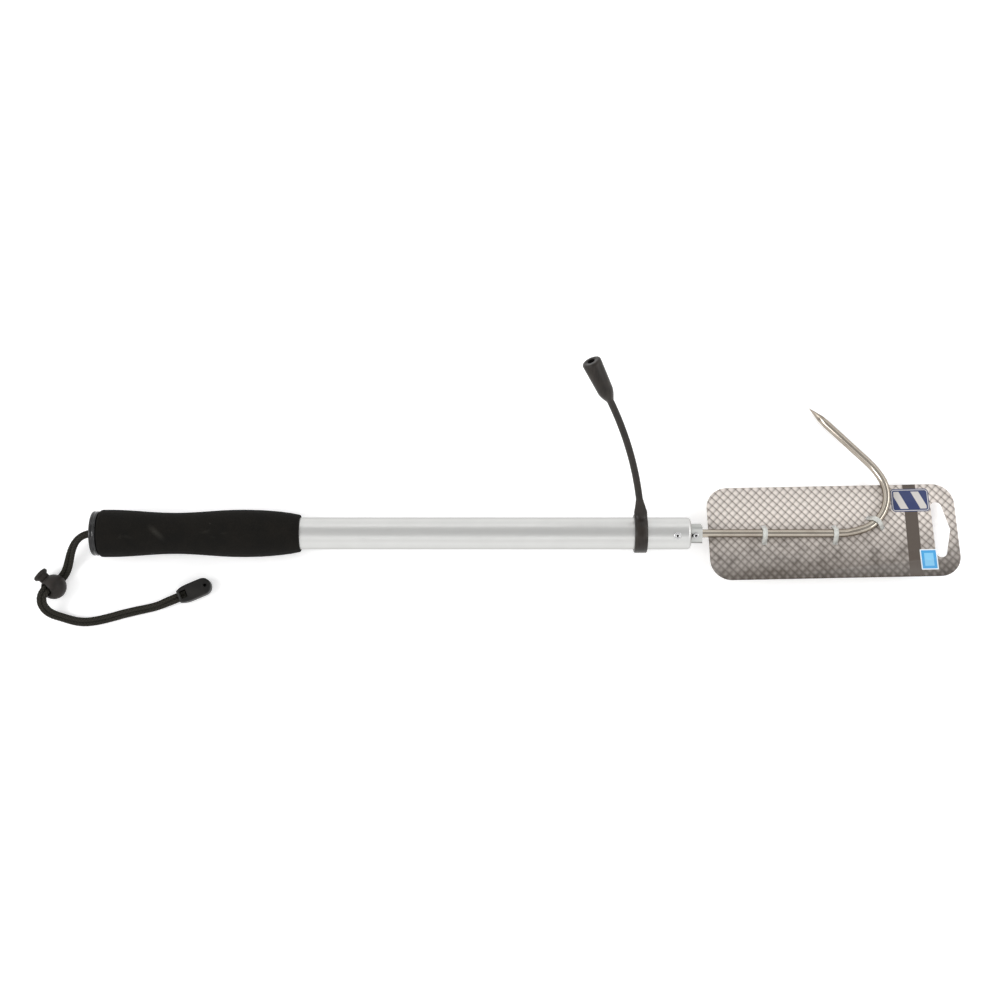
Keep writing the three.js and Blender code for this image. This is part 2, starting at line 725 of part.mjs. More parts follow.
// A strap pulled over the wire and down to two corners under the card, as a closed outline.
function strapOutline(span, drop, radius) {
  const lean = Math.acos(radius / Math.hypot(span, drop)) + Math.atan2(-drop, span);
  const shape = new THREE.Shape();
  shape.moveTo(-span, -drop);
  shape.lineTo(span, -drop);
  shape.absarc(0, 0, radius, lean, HALF_TURN - lean);
  shape.closePath();
  return shape;
}

// A tie is made across X and then turned to its seat.
function cardTie({ place, heading }) {
  const drop = CARD_THICKNESS + SEAT - CARD_TOP;
  const loop = WIRE_RADIUS + TIE_PLAY;
  const inner = strapOutline(TIE_SPAN, drop, loop);
  const outer = strapOutline(TIE_SPAN + TIE_THICKNESS, drop + TIE_THICKNESS, loop + TIE_THICKNESS);
  outer.holes.push(inner);
  const half = TIE_WIDTH / 2;
  const under = -drop - TIE_THICKNESS;
  const headHalf = TIE_HEAD_WIDTH / 2;
  const head = block(-half, half, -headHalf, headHalf, under - TIE_HEAD_HEIGHT, under + TIE_THICKNESS / 2);
  const strap = barAlongX(outer, -half, half, 0).add(head);
  return strap.rotate([0, 0, THREE.MathUtils.radToDeg(heading)]).translate([place.x, place.y, 0]);
}

// The pair of holes that one tie passes through.
function tieHoles({ place, heading }) {
  const run = CARD_THICKNESS + OVERRUN;
  const half = TIE_WIDTH / 2 + SEAT;
  const middle = TIE_SPAN - TIE_THICKNESS / 4;
  const width = TIE_THICKNESS + SEAT;
  const holes = [-1, 1].map((side) =>
    block(-half, half, side * middle - width, side * middle + width, CARD_TOP - run, CARD_TOP + run),
  );
  const pair = holes[0].add(holes[1]);
  return pair.rotate([0, 0, THREE.MathUtils.radToDeg(heading)]).translate([place.x, place.y, 0]);
}

function displayCard() {
  const outline = roundedRectangle(CARD_LENGTH, CARD_HEIGHT, CARD_CORNER);
  const x = CARD_LENGTH / 2 - HANG_SLOT_INSET - HANG_SLOT_RADIUS;
  const y = HANG_SLOT_LENGTH / 2 - HANG_SLOT_RADIUS;
  const lean = Math.asin((HANG_BULGE_SHIFT + HANG_BULGE_RADIUS - HANG_SLOT_RADIUS) / y);
  const slot = new THREE.Path();
  slot.absarc(x, y, HANG_SLOT_RADIUS, HALF_TURN, lean, true);
  slot.absarc(x + HANG_BULGE_SHIFT, 0, HANG_BULGE_RADIUS, lean, -lean, true);
  slot.absarc(x, -y, HANG_SLOT_RADIUS, -lean, -HALF_TURN, true);
  slot.closePath();
  outline.holes.push(slot);
  const geometry = new THREE.ExtrudeGeometry(outline, {
    depth: CARD_THICKNESS,
    bevelEnabled: false,
    curveSegments: 8,
  });
  geometry.rotateZ(radians(CARD_TURN));
  geometry.translate(INNER_FRONT + CARD_GAP + CARD_LENGTH / 2, CARD_RISE, CARD_TOP - CARD_THICKNESS);
  return tieSeats().reduce((card, seat) => card.subtract(tieHoles(seat)), solid(geometry));
}

// The guard is made upright in the X-Z plane, over the ring, and its group leans it over.
function pointGuard() {
  const x = TUBE_FRONT - RING_SETBACK;
  const root = (RING_BORE + RING_RADIUS) / 2;
  const half = RING_WIDTH / 2;
  const edge = (RING_RADIUS - RING_BORE) / 4;
  const ring = turned(
    [
      [x - half, RING_BORE],
      [x + half, RING_BORE],
      [x + half, RING_RADIUS - edge],
      [x + half - edge, RING_RADIUS],
      [x - half + edge, RING_RADIUS],
      [x - half, RING_RADIUS - edge],
      [x - half, RING_BORE],
    ],
    40,
  );
  const lean = (share) => radians(STRAP_ROOT_LEAN + (STRAP_TIP_LEAN - STRAP_ROOT_LEAN) * share);
  const place = new THREE.Vector3(x, 0, root);
  const rings = [];
  const add = (...sizes) => rings.push(guardRing(place, ...sizes));
  const strapSteps = 18;
  for (let i = 0; i <= strapSteps; i++) {
    const share = i / strapSteps;
    const narrowed = (share * STRAP_LENGTH - FLARE_ROOT) / FLARE_LENGTH;
    const run = 1 - THREE.MathUtils.clamp(narrowed, 0, 1);
    const flare = run * run * (3 - 2 * run);
    const width = STRAP_WIDTH + (FLARE_WIDTH - STRAP_WIDTH) * flare;
    add(lean(share), width, STRAP_THICKNESS + (FLARE_THICKNESS - STRAP_THICKNESS) * flare, STRAP_RIDGE);
    if (i < strapSteps) advance(place, lean(share + 1 / (2 * strapSteps)), STRAP_LENGTH / strapSteps);
  }
  const tip = lean(1);
  const shoulderSteps = 6;
  for (let i = 1; i <= shoulderSteps; i++) {
    const share = i / shoulderSteps;
    const swell = Math.sin(QUARTER_TURN * share);
    advance(place, tip, GUARD_CAP_SHOULDER / shoulderSteps);
    const width = STRAP_WIDTH + (2 * GUARD_CAP_BASE - STRAP_WIDTH) * swell;
    const thickness = STRAP_THICKNESS + (2 * GUARD_CAP_BASE - STRAP_THICKNESS) * swell;
    add(tip, width, thickness, STRAP_RIDGE * (1 - share));
  }
  advance(place, tip, GUARD_CAP_LENGTH - GUARD_CAP_SHOULDER - GUARD_CAP_EDGE);
  add(tip, 2 * GUARD_CAP_MOUTH, 2 * GUARD_CAP_MOUTH, 0);
  const corner = GUARD_CAP_EDGE / 3;
  advance(place, tip, GUARD_CAP_EDGE - corner);
  add(tip, 2 * (GUARD_CAP_MOUTH - corner), 2 * (GUARD_CAP_MOUTH - corner), 0);
  advance(place, tip, corner);
  add(tip, 2 * (GUARD_CAP_MOUTH - GUARD_CAP_EDGE), 2 * (GUARD_CAP_MOUTH - GUARD_CAP_EDGE), 0);
  const bore = new THREE.CylinderGeometry(GUARD_BORE, GUARD_BORE, GUARD_BORE_DEPTH + OVERRUN, 20);
  bore.translate(0, (OVERRUN - GUARD_BORE_DEPTH) / 2, 0).rotateX(QUARTER_TURN);
  bore.rotateY(-tip).translate(place.x, place.y, place.z);
  const tunnel = turned(
    [
      [x + RING_WIDTH, 0],
      [x + RING_WIDTH, RING_BORE],
      [x - RING_WIDTH, RING_BORE],
      [x - RING_WIDTH, 0],
    ],
    40,
  );
  return ring.add(loft(rings)).subtract(tunnel).subtract(solid(bore));
}

function advance(place, lean, distance) {
  place.x -= distance * Math.sin(lean);
  place.z += distance * Math.cos(lean);
}

// One ring of the guard's arm: an ellipse across the lean, with a ridge along the middle of its face.
function guardRing(place, lean, width, thickness, ridge) {
  const sides = 16;
  const ring = [];
  for (let i = 0; i < sides; i++) {
    const angle = (2 * Math.PI * i) / sides;
    const side = (width / 2) * Math.cos(angle);
    const raise = ridge * Math.max(0, -Math.sin(angle)) ** 6;
    const y = place.y + (thickness / 2) * Math.sin(angle) - raise;
    const x = place.x + side * Math.cos(lean);
    ring.push(new THREE.Vector3(x, y, place.z + side * Math.sin(lean)));
  }
  return ring;
}

// The cord lock's directions: the plunger's axis, and the channel's axis square to it.
const lockAxis = new THREE.Vector3().setFromSphericalCoords(
  1,
  QUARTER_TURN - radians(LOCK_TILT),
  radians(LOCK_AZIMUTH),
);
lockAxis.set(lockAxis.z, lockAxis.x, lockAxis.y);
const channelAxis = new THREE.Vector3(0, 0, 1).cross(lockAxis).normalize();
channelAxis.applyAxisAngle(lockAxis, radians(LOCK_SPIN));
const lockPlace = new THREE.Vector3(LOCK_PLACE[0], LOCK_PLACE[1], LOCK_PLACE[2] - REST_HEIGHT);

// The strands' common route, as places with the direction from one strand to the other.
function lanyardRoute() {
  const route = [];
  const add = (x, y, z, twist) => route.push({ place: new THREE.Vector3(x, y, z), twist });
  add(CAP_LENGTH, 0, 0, ROUTE_TO_LOCK[0][3]);
  add(0, 0, 0, ROUTE_TO_LOCK[0][3]);
  for (const [x, y, height, twist] of ROUTE_TO_LOCK) add(x, y, height - REST_HEIGHT, twist);
  const lead = BALL_RADIUS + CORD_RADIUS;
  for (const share of [-LEAD_SHARE, -1 / 3, 1 / 3, LEAD_SHARE]) {
    route.push({ place: lockPlace.clone().addScaledVector(channelAxis, share * lead), side: lockAxis });
  }
  for (const [x, y, height, twist] of ROUTE_TO_END) add(x, y, height - REST_HEIGHT, twist);
  const heading = new THREE.Vector3(Math.cos(radians(END_AZIMUTH)), Math.sin(radians(END_AZIMUTH)), 0);
  const mouth = new THREE.Vector3(END_PLACE[0], END_PLACE[1], END_HEIGHT / 2 - REST_HEIGHT);
  for (const run of [0, END_THROAT_LENGTH]) {
    route.push({ place: mouth.clone().addScaledVector(heading, run), twist: 0 });
  }
  return route;
}

// One strand runs beside the common route, on the side given by its sign.
function strandPath(sign) {
  const route = lanyardRoute();
  const line = new THREE.CatmullRomCurve3(
    route.map(({ place }) => place),
    false,
    "centripetal",
  );
  const sides = route.map(({ side, twist }, i) => {
    if (side) return side.clone().negate();
    const along = line.getTangent(i / (route.length - 1));
    const across = new THREE.Vector3(0, 0, 1).cross(along).normalize();
    return across.applyAxisAngle(along, radians(twist));
  });
  const sideLine = new THREE.CatmullRomCurve3(sides, false, "centripetal");
  const places = [];
  const steps = 60;
  for (let i = 0; i <= steps; i++) {
    const share = i / steps;
    const along = line.getTangent(share);
    const side = sideLine.getPoint(share);
    side.addScaledVector(along, -side.dot(along)).normalize();
    places.push(line.getPoint(share).addScaledVector(side, (sign * STRAND_SPACING) / 2));
  }
  return new THREE.CatmullRomCurve3(places, false, "centripetal");
}

function strand(sign) {
  const path = strandPath(sign);
  const section = new THREE.Shape();
  const sides = 8;
  for (let i = 0; i < sides; i++) {
    const angle = (2 * Math.PI * i) / sides;
    const point = [CORD_RADIUS * Math.cos(angle), CORD_RADIUS * Math.sin(angle)];
    if (i === 0) section.moveTo(...point);
    else section.lineTo(...point);
  }
  section.closePath();
  const tube = { steps: path.points.length - 1, extrudePath: path, bevelEnabled: false };
  return solid(new THREE.ExtrudeGeometry(section, tube));
}

// The cord lock's pieces are made with the plunger's axis along X and the channel along Y.
function lockBall() {
  const centre = -BALL_DROP;
  const top = (180 / Math.PI) * Math.acos((BALL_TOP - centre) / BALL_RADIUS);
  const body = turned([[BALL_TOP, 0], ...arc(centre, 0, BALL_RADIUS, top, 180, 12)], 24);
  const bore = turned(
    [
      [BALL_TOP + OVERRUN, 0],
      [BALL_TOP + OVERRUN, BORE_RADIUS],
      [BORE_BOTTOM, BORE_RADIUS],
      [BORE_BOTTOM, 0],
    ],
    24,
  );
  return body
    .subtract(bore)
    .subtract(channel(CHANNEL_HALF, -CHANNEL_HALF))
    .subtract(channelMouth(1))
    .subtract(channelMouth(-1));
}

// The channel widens at either end of the ball, where the strands bend.
function channelMouth(end) {
  const half = CORD_RADIUS + CHANNEL_MARGIN;
  const from = BALL_RADIUS - CHANNEL_MOUTH_DEPTH;
  const cone = turned(
    [
      [from, 0],
      [from, half],
      [BALL_RADIUS, half + CHANNEL_MOUTH_SPREAD],
      [BALL_RADIUS, 0],
    ],
    16,
  ).rotate([0, 0, 90 * end]);
  const shift = CHANNEL_HALF - half;
  return wasm.Manifold.hull([cone.translate([shift, 0, 0]), cone.translate([-shift, 0, 0])]);
}

// A passage along Y for the strands, from one height to another along the plunger's axis.
function channel(top, bottom) {
  const half = CORD_RADIUS + CHANNEL_MARGIN;
  const outline = roundedRectangle(2 * half, top - bottom, half - WELD);
  const geometry = new THREE.ExtrudeGeometry(outline, {
    depth: 4 * BALL_RADIUS,
    bevelEnabled: false,
    curveSegments: 4,
  });
  geometry.rotateX(QUARTER_TURN).translate(0, 2 * BALL_RADIUS, 0).rotateY(QUARTER_TURN);
  return solid(geometry.translate((top + bottom) / 2, 0, 0));
}

function lockPlunger() {
  const bottom = -CHANNEL_HALF;
  const shank = BORE_RADIUS - SEAT;
  const under = PLUNGER_REACH - PLUNGER_FLANGE_LENGTH;
  const body = turned(
    [
      [PLUNGER_REACH - PLUNGER_DISH, 0],
      [PLUNGER_REACH, PLUNGER_FLANGE_RADIUS - 2 * PLUNGER_DISH],
      [PLUNGER_REACH, PLUNGER_FLANGE_RADIUS - PLUNGER_DISH / 2],
      [PLUNGER_REACH - PLUNGER_DISH / 2, PLUNGER_FLANGE_RADIUS],
      [under + PLUNGER_DISH, PLUNGER_FLANGE_RADIUS],
      [under, shank + PLUNGER_DISH],
      [under - PLUNGER_DISH, shank],
      [bottom - PLUNGER_BAR, shank],
      [bottom - PLUNGER_BAR, 0],
    ],
    24,
  );
  return body.subtract(channel(CHANNEL_HALF + PLUNGER_TRAVEL, bottom));
}

function lockSpring() {
  const from = BORE_BOTTOM + SPRING_SEAT + SPRING_WIRE;
  const to = -(CHANNEL_HALF + PLUNGER_BAR + SPRING_SEAT + SPRING_WIRE);
  const steps = Math.round(SPRING_TURNS * 10);
  const places = [];
  for (let i = 0; i <= steps; i++) {
    const angle = (2 * Math.PI * SPRING_TURNS * i) / steps;
    const x = from + ((to - from) * i) / steps;
    places.push(new THREE.Vector3(x, SPRING_RADIUS * Math.cos(angle), SPRING_RADIUS * Math.sin(angle)));
  }
  const section = new THREE.Shape().absarc(0, 0, SPRING_WIRE, 0, 2 * HALF_TURN);
  const path = new THREE.CatmullRomCurve3(places);
  const coil = { steps, extrudePath: path, bevelEnabled: false, curveSegments: 5 };
  return solid(new THREE.ExtrudeGeometry(section, coil));
}

// The cord end's outline, drawn in by an offset, from its mouth at x = 0 to its round end.
function endOutline(inset) {
  const mouth = END_MOUTH_WIDTH / 2 - inset;
  const radius = END_WIDTH / 2 - inset;
  const centre = END_LENGTH - END_WIDTH / 2;
  const shape = new THREE.Shape();
  shape.moveTo(inset, -mouth);
  shape.quadraticCurveTo(END_SHOULDER / 2, -radius, END_SHOULDER, -radius);
  shape.absarc(centre, 0, radius, -QUARTER_TURN, QUARTER_TURN);
  shape.lineTo(END_SHOULDER, radius);
  shape.quadraticCurveTo(END_SHOULDER / 2, radius, inset, mouth);
  shape.closePath();
  return shape;
}

function endShell() {
  const outside = new THREE.ExtrudeGeometry(endOutline(END_EDGE), {
    depth: END_HEIGHT - 2 * END_EDGE,
    bevelSize: END_EDGE,
    bevelThickness: END_EDGE,
    bevelSegments: 3,
    curveSegments: 8,
  });
  outside.translate(0, 0, END_EDGE);
  const hollow = new THREE.ExtrudeGeometry(endOutline(END_WALL), {
    depth: END_HEIGHT - 2 * END_WALL,
    bevelEnabled: false,
    curveSegments: 8,
  });
  hollow.translate(0, 0, END_WALL);
  const inside = block(
    END_THROAT_LENGTH,
    END_LENGTH,
    -END_WIDTH,
    END_WIDTH,
    0,
    END_HEIGHT,
  ).intersect(solid(hollow));
  const throatHalf = PAIR_HALF + SEAT;
  const middle = END_HEIGHT / 2;
  const throat = block(
    -OVERRUN,
    END_THROAT_LENGTH + OVERRUN,
    -throatHalf,
    throatHalf,
    middle - CORD_RADIUS - SEAT,
    middle + CORD_RADIUS + SEAT,
  );
  return solid(outside).subtract(inside).subtract(throat);
}

function endBase() {
  const high = (END_HEIGHT - SEAT) / 2;
  const lower = block(-OVERRUN, END_LENGTH + OVERRUN, -END_WIDTH, END_WIDTH, -OVERRUN, high);
  return endShell().intersect(lower);
}

function endLid() {
  const from = (END_HEIGHT + SEAT) / 2;
  const high = END_HEIGHT + OVERRUN;
  const upper = block(-OVERRUN, END_LENGTH + OVERRUN, -END_WIDTH, END_WIDTH, from, high);
  const half = END_WINDOW_WIDTH / 2;
  const window = block(END_WINDOW_INSET, END_WINDOW_INSET + END_WINDOW_LENGTH, -half, half, 0, high);
  const hole = new THREE.CylinderGeometry(END_HOLE_RADIUS, END_HOLE_RADIUS, 2 * high, 16);
  hole.rotateX(QUARTER_TURN).translate(END_LENGTH - END_HOLE_INSET, 0, 0);
  return endShell().intersect(upper).subtract(window).subtract(solid(hole));
}

// Assembly, in the frame of the tube: its axis is the X axis and the butt's face is at x = 0
const cords = [
  piece("lanyard_knot", knot(CAP_LENGTH + SEAT, KNOT_LENGTH, KNOT_RADIUS, KNOT_WAIST), "braid"),
  piece("lanyard_strand_a", strand(1), "braid"),
  piece("lanyard_strand_b", strand(-1), "braid"),
];

const cordLock = group(
  piece("cord_lock_body", lockBall(), "nylon"),
  piece("cord_lock_plunger", lockPlunger(), "nylon"),
  piece("cord_lock_spring", lockSpring(), "stainless"),
);
cordLock.setRotationFromMatrix(
  new THREE.Matrix4().makeBasis(lockAxis, channelAxis, lockAxis.clone().cross(channelAxis)),
);
cordLock.position.copy(lockPlace);

const cordEnd = group(
  piece("cord_end_base", endBase(), "glossBlack"),
  piece("cord_end_lid", endLid(), "glossBlack"),
);
const endBead = knot(END_THROAT_LENGTH + SEAT, END_KNOT_LENGTH, END_KNOT_RADIUS, 0);
const endKnot = piece("cord_end_knot", endBead, "braid");
endKnot.position.z = END_HEIGHT / 2;
cordEnd.add(endKnot);
cordEnd.rotation.z = radians(END_AZIMUTH);
cordEnd.position.set(END_PLACE[0], END_PLACE[1], -REST_HEIGHT);

const handle = group(
  piece("outer_tube", outerTube(), "satinAluminium"),
  piece("grip", grip(), "foam"),
  piece("butt_cap", buttCap(), "glossBlack"),
  piece("guide_bush", guideBush(), "nylon"),
  piece("bush_rivet", bushRivet(), "drawnAluminium"),
);

const guard = group(piece("point_guard", pointGuard(), "rubber"));
guard.rotation.x = radians(GUARD_LEAN) - QUARTER_TURN;

const head = group(
  piece("hook", hook(), "stainless"),
  piece("display_card", displayCard(), "card"),
);
tieSeats().forEach((seat, i) => {
  head.add(piece(`card_tie_${i + 1}`, cardTie(seat), "clearPlastic"));
});
head.rotation.x = -radians(restingDroop());

const extension = group(
  piece("inner_tube", innerTube(), "drawnAluminium"),
  piece("rear_slider", rearSlider(), "nylon"),
  piece("slider_pin", sliderPin(), "stainless"),
  piece("hook_plug", hookPlug(), "nylon"),
  piece("plug_rivet", plugRivet(), "drawnAluminium"),
  head,
);

// The origin is on the table, under the middle of the gaff without its lanyard
const gaff = group(handle, extension, guard);
const box = new THREE.Box3().setFromObject(gaff, true);
const middle = box.getCenter(new THREE.Vector3());
gaff.add(...cords, cordLock, cordEnd);
gaff.position.set(-middle.x, -middle.y, REST_HEIGHT);

export default group(gaff);
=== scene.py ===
"""A telescopic landing gaff, collapsed, with its display card tied on. Metres, in the row frame."""

import json
import math

import bmesh
import bpy
from mathutils import Matrix, Vector

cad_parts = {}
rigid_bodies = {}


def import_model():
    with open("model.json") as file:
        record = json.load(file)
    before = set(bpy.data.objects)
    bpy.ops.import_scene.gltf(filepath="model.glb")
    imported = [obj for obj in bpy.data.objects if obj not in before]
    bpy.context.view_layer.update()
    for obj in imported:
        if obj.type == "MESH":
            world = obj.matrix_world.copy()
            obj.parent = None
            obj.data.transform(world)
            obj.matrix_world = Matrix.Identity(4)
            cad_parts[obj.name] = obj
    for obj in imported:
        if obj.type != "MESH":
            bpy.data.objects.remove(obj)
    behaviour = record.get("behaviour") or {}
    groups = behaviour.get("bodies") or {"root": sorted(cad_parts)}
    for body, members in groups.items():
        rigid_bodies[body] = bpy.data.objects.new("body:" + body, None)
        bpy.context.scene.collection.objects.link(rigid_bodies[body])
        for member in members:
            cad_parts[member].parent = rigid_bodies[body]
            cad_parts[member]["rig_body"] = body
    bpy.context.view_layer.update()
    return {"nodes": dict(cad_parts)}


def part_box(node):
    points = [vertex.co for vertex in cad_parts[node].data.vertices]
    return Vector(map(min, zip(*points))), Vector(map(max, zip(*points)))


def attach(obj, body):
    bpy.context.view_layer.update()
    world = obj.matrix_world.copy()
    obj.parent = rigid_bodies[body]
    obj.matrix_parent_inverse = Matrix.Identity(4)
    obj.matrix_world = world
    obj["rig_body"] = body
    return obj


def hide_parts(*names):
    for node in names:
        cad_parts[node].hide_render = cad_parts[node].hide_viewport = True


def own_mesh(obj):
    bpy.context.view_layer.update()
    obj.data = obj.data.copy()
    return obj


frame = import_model()
scene = bpy.context.scene

# The tube's frame has its origin on the tube's axis, at the butt's face. The others stand in it.
TUBE_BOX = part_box("outer_tube")
AXIS = Vector((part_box("butt_cap")[0].x, *((TUBE_BOX[0] + TUBE_BOX[1]) / 2)[1:]))
TABLE = -AXIS.z
TUBE_RADIUS = 0.012
WIRE_RADIUS = 0.003
HEAD_ROLL = -9.2175  # in degrees about the tube, at which the hook's spear lies on the table
GUARD_ROLL = -48
SQUARE_ROLL = 24
BUSH_RIVET_ROLL = 18
CARD_MIDDLE = (0.5554, 0.0027, -0.0038)
CARD_TURN = 1.2


def turned(degrees, axis="X"):
    return Matrix.Rotation(math.radians(degrees), 4, axis)


TUBE = Matrix.Translation(AXIS)
SQUARE = TUBE @ turned(SQUARE_ROLL)
HEAD = TUBE @ turned(HEAD_ROLL)
CARD = HEAD @ Matrix.Translation(CARD_MIDDLE) @ turned(CARD_TURN, "Z")
GUARD = TUBE @ turned(GUARD_ROLL)
LOCK_AXIS = Vector((-0.75184, 0.65356, 0.08716))
CHANNEL_AXIS = Vector((-0.37132, -0.52892, 0.76313))
LOCK_PLACE = Vector((-0.0312, -0.038, TABLE + 0.0096))
END_HEADING = 23.5
END_MOUTH = Vector((0.063, -0.0464, TABLE + 0.0042))
END = TUBE @ Matrix.Translation(END_MOUTH) @ turned(END_HEADING, "Z")

# The camera looks down at 79 degrees, from the side on which the lanyard lies
ELEVATION = math.radians(79)
VIEW_DISTANCE = 1.2
VIEW_REACH = 0.304875  # of the view's middle from the butt's face, along the tube
VIEW_RISE = 0.02505  # of the view's middle over the tube, up the picture
BACK = Vector((0, -math.cos(ELEVATION), math.sin(ELEVATION)))
UP = Vector((0, math.sin(ELEVATION), math.cos(ELEVATION)))
camera = bpy.data.objects.new("camera", bpy.data.cameras.new("camera"))
scene.collection.objects.link(camera)
camera.data.sensor_width = 36
camera.data.lens = 57.6
camera.data.clip_end = 20
ALONG = Vector((1, 0, 0))
target = AXIS + ALONG * VIEW_REACH + UP * VIEW_RISE
facing = Matrix((ALONG, UP, BACK)).transposed().to_4x4()
camera.matrix_world = Matrix.Translation(target + BACK * VIEW_DISTANCE) @ facing
scene.camera = camera
scene.view_settings.view_transform = "Standard"


# Materials


class Net:
    """A material's nodes, added one by one. An input is a number, a colour or another node's output."""

    def __init__(self, name, **shader):
        self.material = bpy.data.materials.new(name)
        self.material.use_nodes = True
        self.tree = self.material.node_tree
        self.shader = self.tree.nodes["Principled BSDF"]
        self.fill(self.shader, shader)

    def fill(self, node, inputs):
        for key, value in inputs.items():
            socket = node.inputs[int(key[1:])] if key[0] == "_" else node.inputs[key.replace("_", " ")]
            if isinstance(value, bpy.types.NodeSocket):
                self.tree.links.new(value, socket)
            else:
                socket.default_value = value

    def surface(self, **inputs):
        self.fill(self.shader, inputs)

    def add(self, kind, output=0, settings=(), **inputs):
        node = self.tree.nodes.new("ShaderNode" + kind)
        for key, value in dict(settings).items():
            setattr(node, key, value)
        self.fill(node, inputs)
        return node.outputs[output]

    def math(self, operation, *values):
        inputs = {f"_{i}": value for i, value in enumerate(values)}
        return self.add("Math", settings={"operation": operation}, **inputs)

    def place(self):
        return self.add("TexCoord", output="Object")

    def stretched(self, *scale):
        return self.add("Mapping", Vector=self.place(), Scale=scale)

    def noise(self, scale, detail=3.0, roughness=0.6, where=None):
        where = where or self.place()
        return self.add("TexNoise", Vector=where, Scale=scale, Detail=detail, Roughness=roughness)

    def band(self, value, low, high, start=0.0, end=1.0):
        """A value from low to high turned into one from start to end, and held beyond them."""
        names = {"From_Min": low, "From_Max": high, "To_Min": start, "To_Max": end}
        return self.add("MapRange", Value=value, **names)

    def mix(self, share, a, b):
        return self.add("Mix", output=2, settings={"data_type": "RGBA"}, _0=share, _6=a, _7=b)

    def bump(self, height, distance, strength=1.0):
        self.surface(Normal=self.add("Bump", Height=height, Distance=distance, Strength=strength))

    def plan(self, layer):
        """The two values of a UV layer."""
        split = self.tree.nodes.new("ShaderNodeSeparateXYZ")
        self.fill(split, {"Vector": self.add("UVMap", settings={"uv_map": layer})})
        return split.outputs[0], split.outputs[1]


def colour(*levels):
    """A screen colour from 0 to 255 as a linear one."""
    return tuple(((v / 255 + 0.055) / 1.055) ** 2.4 if v > 10 else v / 3294.6 for v in levels) + (1,)


def metal(name, light, dark, roughness, lines, depth):
    """Drawn metal, with fine lines along X."""
    net = Net(name, Metallic=1.0, Specular_Tint=colour(200, 200, 199))
    streaks = net.noise(1, 4, 0.7, net.stretched(*lines))
    tone = net.math("MULTIPLY_ADD", streaks, 0.6, net.math("MULTIPLY", net.noise(60, 2), 0.4))
    net.surface(Base_Color=net.mix(net.band(tone, 0.3, 0.7), dark, light))
    net.surface(Roughness=net.band(tone, 0.3, 0.7, roughness + 0.04, roughness - 0.04))
    net.bump(streaks, depth)
    return net.material


def plastic(name, tone, pale, roughness, grain, depth, gloss=0.5):
    """Moulded plastic, with a fine grain and light wear."""
    net = Net(name, Specular_IOR_Level=gloss)
    wear = net.noise(90, 4)
    net.surface(Base_Color=net.mix(net.band(wear, 0.45, 0.75), tone, pale))
    net.surface(Roughness=net.band(wear, 0.35, 0.7, roughness, roughness + 0.1))
    net.bump(net.noise(grain, 2), depth)
    return net.material


# The grip's marks, a scuff and a speck: each one's place from the butt and across the tube, half its sizes, and
# its turn in degrees. They lie on top of the foam and fade out downwards.
FOAM_MARKS = (
    ((0.0505, -0.0025), (0.0105, 0.0028), -43),
    ((0.09, 0.0046), (0.001, 0.0009), 0),
)
MARK_HEIGHT = 0.0165  # over the tube's axis
MARK_FADE = 60  # per metre of depth


def foam_material():
    """Closed-cell foam: tiny pores, soft mottling, and a few paler scuffs."""
    net = Net("grip_foam", Specular_IOR_Level=0.12)
    pores = net.add("TexVoronoi", Vector=net.place(), Scale=1400.0)
    cloud = net.noise(70, 4)
    scuff = net.noise(1, 5, 0.7, net.stretched(45, 90, 140))
    base = net.mix(net.band(cloud, 0.35, 0.7), colour(18, 17, 15), colour(27, 25, 22))
    base = net.mix(net.band(scuff, 0.62, 0.8, 0, 0.3), base, colour(62, 60, 55))
    for middle, (length, width), turn in FOAM_MARKS:
        place = AXIS + Vector((*middle, MARK_HEIGHT))
        at = net.add("VectorMath", settings={"operation": "SUBTRACT"}, _0=net.place(), _1=place)
        at = net.add("Mapping", Vector=at, Rotation=(0, 0, -math.radians(turn)))
        at = net.add("Mapping", Vector=at, Scale=(1 / length, 1 / width, MARK_FADE))
        mark = net.add("TexGradient", settings={"gradient_type": "SPHERICAL"}, Vector=at)
        mark = net.math("MULTIPLY", mark, net.band(cloud, 0.3, 0.6, 0.08, 0.34))
        base = net.mix(mark, base, colour(74, 72, 67))
    # The pores are painted near black, as shade in their hollows
    base = net.mix(net.band(pores, 0.1, 0.6, 0.35, 0), base, colour(7, 7, 6))
    net.surface(Base_Color=base, Roughness=net.band(cloud, 0.3, 0.7, 0.82, 0.95))
    net.bump(net.math("MULTIPLY_ADD", cloud, 0.5, pores), 0.00025, 0.6)
    return net.material


def steel_material():
    """Polished wire with a little tarnish."""
    net = Net("hook_steel", Metallic=1.0, Specular_Tint=colour(120, 112, 102))
    tarnish = net.noise(55, 4)
    tone = net.mix(net.band(tarnish, 0.35, 0.7), colour(190, 182, 170), colour(168, 158, 146))
    net.surface(Base_Color=tone, Roughness=net.band(tarnish, 0.3, 0.75, 0.04, 0.08))
    net.bump(net.noise(1500, 2), 0.00002, 0.5)
    return net.material


BUNDLES = 4  # that cross a strand of the braid, each way round it
STITCHES = 420  # of the braid's print, in a metre


